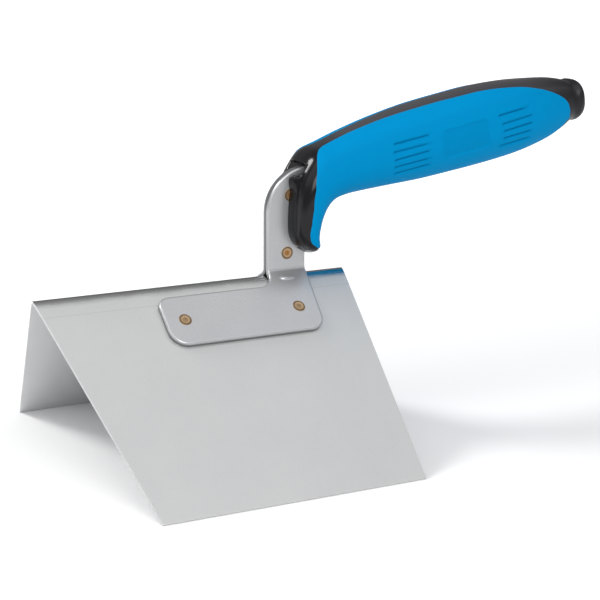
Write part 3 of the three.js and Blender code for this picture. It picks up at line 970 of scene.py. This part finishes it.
# points all round the grip's edge, to measure from: both long edges, then both ends
side_places = [k / 3000 for k in range(3001)]
end_places = [k / 900 for k in range(901)]
border_spots = [grip_spot(share, along) for share in (0.0, 1.0) for along in side_places]
border_spots += [grip_spot(share, along) for along in (0.0, 1.0) for share in end_places]
border = kdtree.KDTree(len(border_spots))
for k, spot in enumerate(border_spots):
    border.insert(handle_point(*spot), k)
border.balance()

core_stations = spread([
    (0, 1, 6), (1, 4.4, 40), (4.4, 5, 6), (5, 13.5, 70), (13.5, 16.8, 90), (16.8, 21, 60),
])
half_turn = spread([(0, 45, 44), (45, 90, 28), (90, 180, 30)])
full_turn = half_turn + [360 - a for a in reversed(half_turn[1:-1])]


def end_rows(station, scales, dome):
    """Rows that shrink one end of the core towards its middle, moved out by the dome."""
    middle = handle_point(station, 0) * 0.5 + handle_point(station, 180) * 0.5
    rows = []
    for scale in scales:
        out = dome(1 - scale ** 2)
        row = [handle_point(station, degrees) for degrees in full_turn]
        rows.append([at(*(middle + (p - middle) * scale + out)) for p in row])
    return rows


BUTT_DOME = 0.5
TIP_DOME = 0.9
TIP_PUSH = 0.2


def butt_dome(share):
    """The butt's end face bulges backwards."""
    return Vector((BUTT_DOME * share, 0, 0))


def tip_dome(share):
    """The collar's tip bulges downwards."""
    return Vector((TIP_PUSH, 0, -TIP_DOME * share))


core_rows = end_rows(0, (0.35, 0.7, 0.9), butt_dome)
for station in core_stations:
    row = []
    for degrees in full_turn:
        p = handle_point(station, degrees)
        if under_grip(station, degrees):
            sunk = SEAT_DEPTH * smooth_step(*SEAT_EDGE, border.find(p)[2])
            p = handle_point(station, degrees, -sunk)
        elif p.x > NECK_X - NECK_REACH:
            p = handle_point(station, degrees, neck_lift(p.x, degrees))
        row.append(at(*collar_relief(p)))
    core_rows.append(row)
core_rows += end_rows(LAST, (0.8, 0.45), tip_dome)

# rates per metre behind the collar: gloss turns to satin in 12.5 mm, the back's painted sheen runs
# 125 mm
COLLAR_REAR = 112.0
SATIN_RATE = 80.0
BACK_RATE = 8.0
core_plastic, shader = new_material("black_moulding", (0.05, 0.05, 0.055, 1))
fields = surface_fields(core_plastic, 1900.0)
place = add(core_plastic, "ShaderNodeTexCoord")
parts = add(core_plastic, "ShaderNodeSeparateXYZ")
link(core_plastic, place.outputs["Object"], parts.inputs[0])
from_collar = maths(core_plastic, "SUBTRACT", parts.outputs["X"], toe_x + COLLAR_REAR * MM)
satin_run = maths(core_plastic, "MULTIPLY", from_collar, SATIN_RATE)
satin_part = ramp(core_plastic, satin_run, [(0.0, 0.0), (1.0, 1.0)])
tone = ramp(core_plastic, fields.outputs["Mottle"], [
    (0.3, (0.004, 0.004, 0.005)), (0.7, (0.007, 0.007, 0.0085)),
])
# the back is textured, and its colour is painted greyer than the collar and the butt: a painted
# sheen
back_run = maths(core_plastic, "MULTIPLY", from_collar, BACK_RATE)
painted_back_sheen = ramp(core_plastic, back_run, [(0.0, 0.0), (0.12, 1.0), (0.75, 0.8), (0.93, 0.1)])
tone = mix(core_plastic, painted_back_sheen, tone, (0.05, 0.049, 0.056))
link(core_plastic, tone, shader.inputs["Base Color"])
shader.inputs["Specular IOR Level"].default_value = 0.3
gloss = ramp(core_plastic, fields.outputs["Mottle"], [(0.3, 0.14), (0.7, 0.19)])
satin = ramp(core_plastic, fields.outputs["Mottle"], [(0.3, 0.3), (0.7, 0.38)])
link(core_plastic, mix(core_plastic, satin_part, gloss, satin), shader.inputs["Roughness"])
texture = maths(core_plastic, "MULTIPLY", fields.outputs["Grain"], satin_part)
bump(core_plastic, shader, texture, 0.00005, 0.5)

core_piece = loft_object("handle_core_moulding", core_rows, core_plastic)
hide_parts("handle_core")
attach(core_piece, "root")

# ---------------------------------------------------------------- soft grip
# The blue rubber overmould: it wraps the belly and both sides, stands slightly proud of the
# core with a rolled edge, and has five cut lines at each end of a blank recessed panel.

# cut lines in mm along the handle and above the fold, near side; the far side mirrors them
CUT_LINES = [
    ((142.0, 48.1), (156.1, 50.8)), ((141.9, 44.9), (156.1, 47.5)), ((142.5, 41.8), (156.5, 44.6)),
    ((142.8, 39.0), (156.9, 41.6)), ((143.1, 36.3), (157.6, 39.1)),
    ((188.8, 56.5), (203.0, 59.1)), ((190.5, 53.1), (204.3, 55.7)), ((191.4, 50.2), (205.4, 52.8)),
    ((191.5, 47.3), (204.8, 49.6)), ((190.5, 44.2), (204.6, 46.7)),
]
CUT_HALF_WIDTH = 0.56
CUT_DEPTH = 0.6
PANEL_CENTRE = Vector((173.6, 48.4))
PANEL_TILT = math.radians(10.5)
PANEL_HALF = Vector((10.6, 5.6))
PANEL_ROUND = 2.2
PANEL_DEPTH = 0.38
GRIP_LIFT = 0.28
GRIP_ROLL = 0.9
GRIP_TUCK = 0.12
GRIP_SKIN = 0.45


def segment_distance(p, a, b):
    """Distance from a point to the straight line between two others."""
    line = Vector(b) - Vector(a)
    t = max(0.0, min(1.0, (p - Vector(a)).dot(line) / line.length_squared))
    return (p - Vector(a) - line * t).length


def panel_distance(p):
    """Distance outside the recessed panel's outline, negative inside it."""
    off = p - PANEL_CENTRE
    along = Vector((math.cos(PANEL_TILT), math.sin(PANEL_TILT)))
    up = Vector((-along.y, along.x))
    a = abs(off.dot(along)) - (PANEL_HALF.x - PANEL_ROUND)
    b = abs(off.dot(up)) - (PANEL_HALF.y - PANEL_ROUND)
    return Vector((max(a, 0), max(b, 0))).length + min(max(a, b), 0) - PANEL_ROUND


def carving(p):
    """How deep the cut lines and the panel go at a point of the grip's side."""
    flat = Vector((p.x, p.z))
    depth = 0.0
    for a, b in CUT_LINES:
        d = segment_distance(flat, a, b)
        if d < CUT_HALF_WIDTH:
            depth = max(depth, CUT_DEPTH * (1 - (d / CUT_HALF_WIDTH) ** 2))
    depth = max(depth, PANEL_DEPTH * (1 - smooth_step(-0.45, 0.15, panel_distance(flat))))
    return depth


# the rows run close together at the rolled edges and where the lines and the panel are
half_share = spread([
    (0, 0.014, 4), (0.014, 0.05, 4), (0.05, 0.15, 10), (0.15, 0.34, 60), (0.34, 0.5, 12),
])
grip_shares = half_share + [1 - u for u in reversed(half_share[:-1])]
grip_alongs = spread([
    (0, 0.01, 5), (0.01, 0.17, 24), (0.17, 0.27, 44), (0.27, 0.385, 24), (0.385, 0.465, 40),
    (0.465, 0.6, 24), (0.6, 0.985, 70), (0.985, 1, 7),
])


def make_grip(material):
    """The overmould: an outer skin with a rolled edge, joined all round to an inner one."""
    outer = []
    inner = []
    cuts = []
    flank_low, flank_high = 60, 130
    for along in grip_alongs:
        outer_row = []
        inner_row = []
        for share in grip_shares:
            station, degrees = grip_spot(share, along)
            p = handle_point(station, degrees)
            inner_spot = 0 < share < 1 and 0 < along < 1
            reach = min(1.0, border.find(p)[2] / GRIP_ROLL) if inner_spot else 0.0
            rolled = math.sqrt(1 - (1 - reach) ** 2)
            lift = -GRIP_TUCK + (GRIP_LIFT + GRIP_TUCK) * rolled
            on_flank = flank_low < min(degrees, 360 - degrees) < flank_high
            deep = carving(p) if on_flank else 0
            outer_row.append(handle_point(station, degrees, lift - deep))
            cuts.append(deep)
            inner_row.append(handle_point(station, degrees, -GRIP_SKIN - GRIP_SKIN * reach))
        outer.append(outer_row)
        inner.append(inner_row)
    across = len(grip_shares)
    rows = len(grip_alongs)
    vertices = [at(*p) for row in outer + inner for p in row]
    shift = rows * across
    faces = []
    for r in range(rows - 1):
        for i in range(across - 1):
            a = r * across + i
            faces.append((a, a + 1, a + across + 1, a + across))
            faces.append((shift + a, shift + a + across, shift + a + across + 1, shift + a + 1))
        for a in (r * across, r * across + across - 1):
            faces.append((a, a + across, shift + a + across, shift + a))
    for start in (0, (rows - 1) * across):
        for a in range(start, start + across - 1):
            faces.append((a, a + 1, shift + a + 1, shift + a))
    piece = mesh_object("soft_grip_overmould", vertices, faces, material, 60)
    set_point_value(piece, "cut_mm", cuts + [0.0] * (len(piece.data.vertices) - len(cuts)))
    return piece


grip_rubber, shader = new_material("soft_blue_rubber", (0.0, 0.3, 0.6, 1))
fields = surface_fields(grip_rubber, 1500.0)
tone = ramp(grip_rubber, fields.outputs["Smudge"], [
    (0.3, (0.0, 0.225, 0.49)), (0.7, (0.0, 0.24, 0.515)),
])
# the cut lines and the recessed panel are painted darker the deeper they go: painted shade in the
# recesses
cut = add(grip_rubber, "ShaderNodeAttribute", attribute_name="cut_mm")
shade = ramp(grip_rubber, maths(grip_rubber, "DIVIDE", cut.outputs["Fac"], CUT_DEPTH), [
    (0.0, 1.0), (0.35, 0.96), (0.64, 0.94), (1.0, 0.55),
])
tone = mix(grip_rubber, 1.0, tone, shade, "MULTIPLY")
link(grip_rubber, tone, shader.inputs["Base Color"])
rubber_skin = ramp(grip_rubber, fields.outputs["Mottle"], [(0.3, 0.5), (0.7, 0.6)])
link(grip_rubber, rubber_skin, shader.inputs["Roughness"])
shader.inputs["Specular IOR Level"].default_value = 0.02
bump(grip_rubber, shader, fields.outputs["Grain"], 0.00004, 0.5)

grip_piece = make_grip(grip_rubber)
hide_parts("soft_grip")
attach(grip_piece, "root")

# ---------------------------------------------------------------- view transform

scene.view_settings.view_transform = "Standard"
